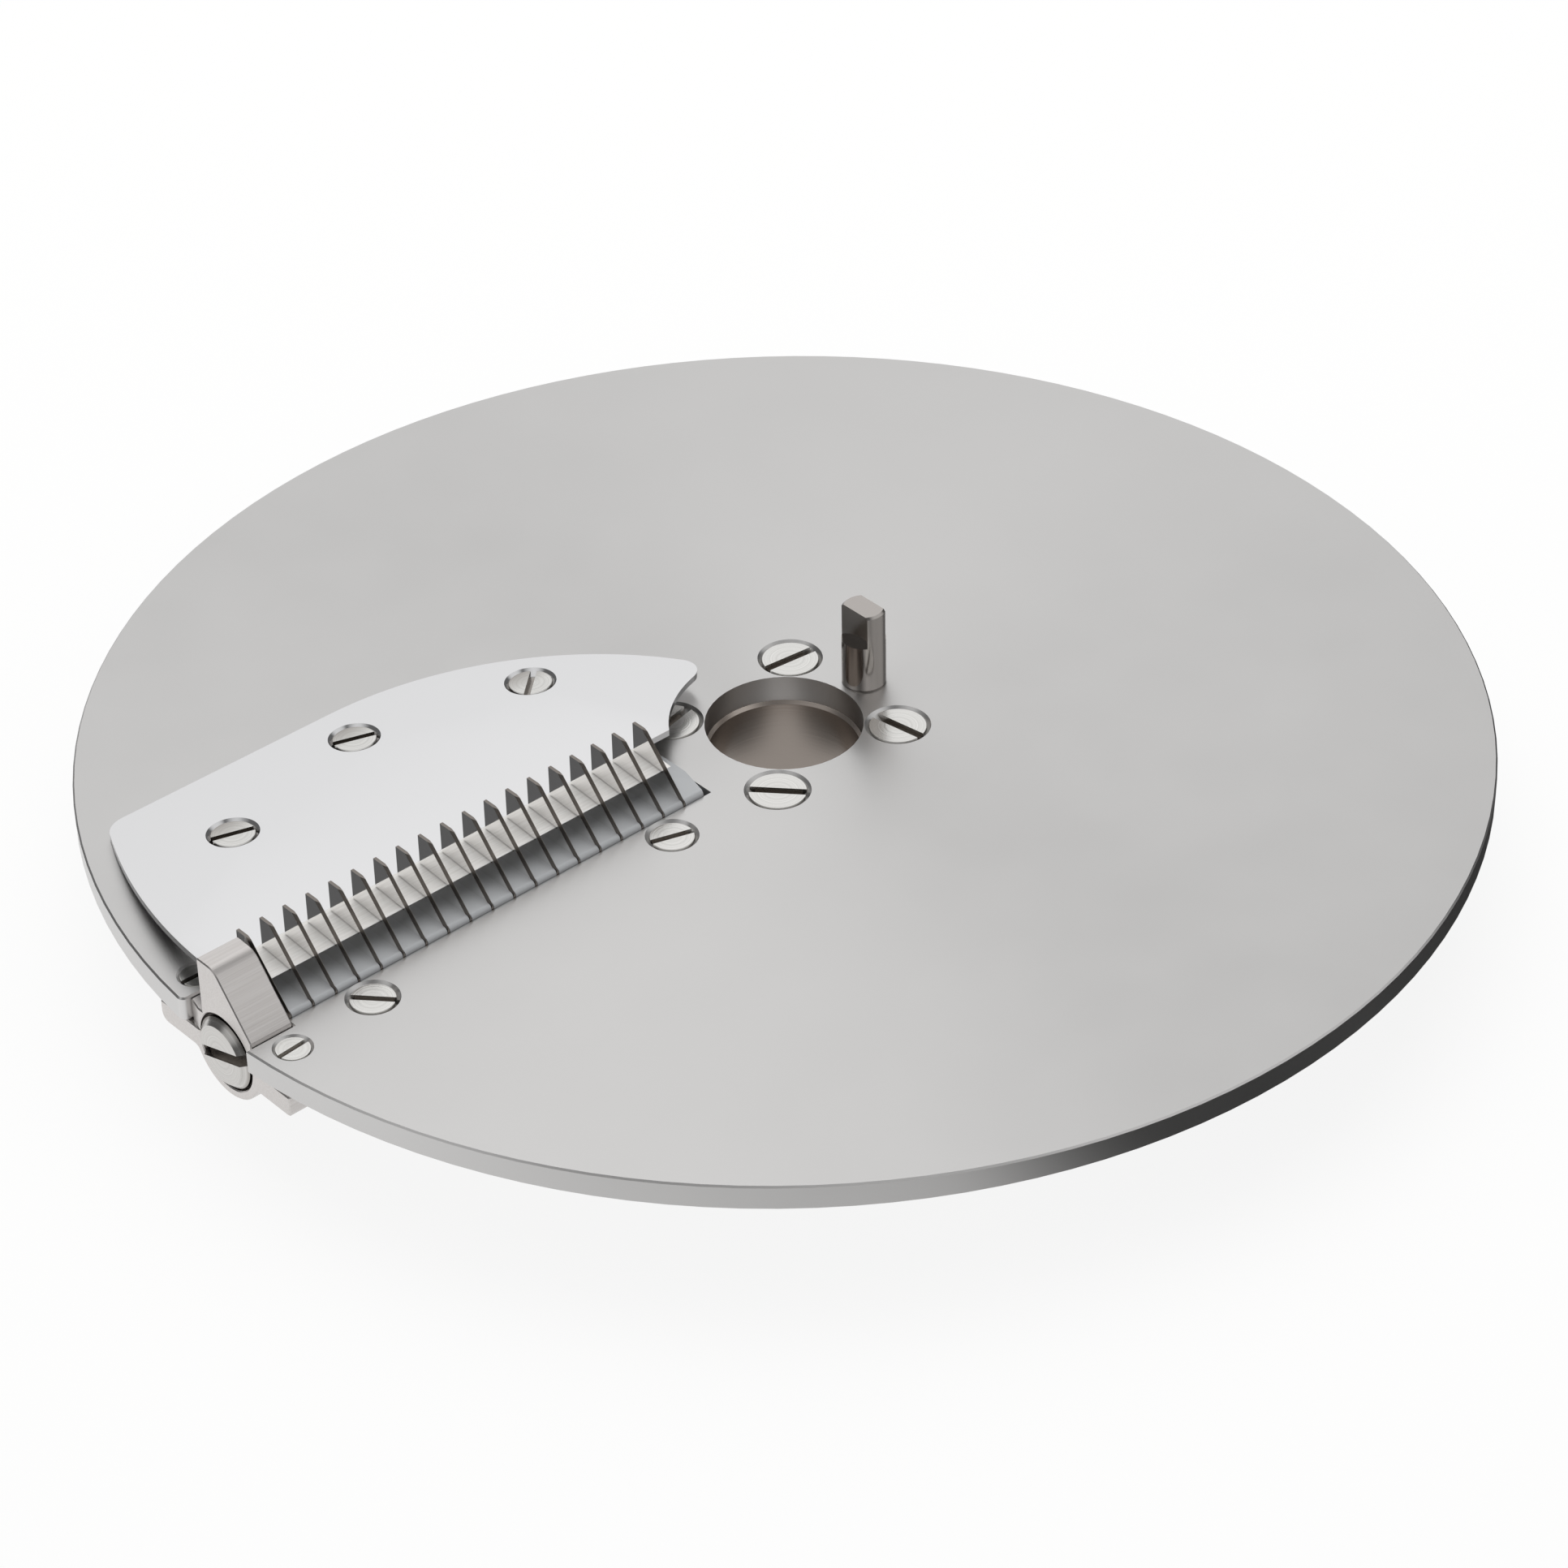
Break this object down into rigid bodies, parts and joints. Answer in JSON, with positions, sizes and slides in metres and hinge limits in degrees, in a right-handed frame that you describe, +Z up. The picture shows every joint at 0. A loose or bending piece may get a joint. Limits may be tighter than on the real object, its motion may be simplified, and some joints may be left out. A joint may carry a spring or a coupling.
{
  "type": "dicing disc",
  "caption": "Round steel cutting disc with a raked slicing blade, a comb of upright knives in front of its edge, a central hub bore and an upright drive pin.",
  "frame": {"origin": "on the hub's bore axis, at the hub's lower seat face", "axes": "+Z up along the bore axis to the cutting side, the comb of knives lies along -X, the drive pin stands on +X, and +Y is behind the slicing blade's edge"},
  "size_m": [0.2497, 0.25, 0.0408],
  "materials": {
    "disc_steel": "finely turned satin stainless steel",
    "blade_steel": "polished blade steel with a ground bevel",
    "knife_steel": "polished knife steel, ground along the sloping edge",
    "spacer_steel": "milled steel",
    "block_steel": "surface-ground steel",
    "carrier_steel": "milled steel",
    "hub_steel": "turned steel",
    "pin_steel": "turned steel",
    "screw_steel": "turned stainless steel",
    "tie_steel": "turned stainless steel"
  },
  "bodies": {
    "root": {"disc_plate": "disc_steel", "hub": "hub_steel", "drive_pin": "pin_steel", "hub_screws": "screw_steel", "slicing_blade": "blade_steel", "blade_screws": "screw_steel", "comb_carrier": "carrier_steel", "carrier_screws": "screw_steel", "rim_screws": "screw_steel", "end_block": "block_steel", "inner_end_spacer": "spacer_steel", "tie_screw": "tie_steel", "comb_knife_01": "knife_steel", "comb_knife_02": "knife_steel", "comb_knife_03": "knife_steel", "comb_knife_04": "knife_steel", "comb_knife_05": "knife_steel", "comb_knife_06": "knife_steel", "comb_knife_07": "knife_steel", "comb_knife_08": "knife_steel", "comb_knife_09": "knife_steel", "comb_knife_10": "knife_steel", "comb_knife_11": "knife_steel", "comb_knife_12": "knife_steel", "comb_knife_13": "knife_steel", "comb_knife_14": "knife_steel", "comb_knife_15": "knife_steel", "comb_knife_16": "knife_steel", "comb_knife_17": "knife_steel", "comb_knife_18": "knife_steel", "comb_knife_19": "knife_steel", "comb_spacer_01": "spacer_steel", "comb_spacer_02": "spacer_steel", "comb_spacer_03": "spacer_steel", "comb_spacer_04": "spacer_steel", "comb_spacer_05": "spacer_steel", "comb_spacer_06": "spacer_steel", "comb_spacer_07": "spacer_steel", "comb_spacer_08": "spacer_steel", "comb_spacer_09": "spacer_steel", "comb_spacer_10": "spacer_steel", "comb_spacer_11": "spacer_steel", "comb_spacer_12": "spacer_steel", "comb_spacer_13": "spacer_steel", "comb_spacer_14": "spacer_steel", "comb_spacer_15": "spacer_steel", "comb_spacer_16": "spacer_steel", "comb_spacer_17": "spacer_steel", "comb_spacer_18": "spacer_steel"}
  },
  "joints": []
}
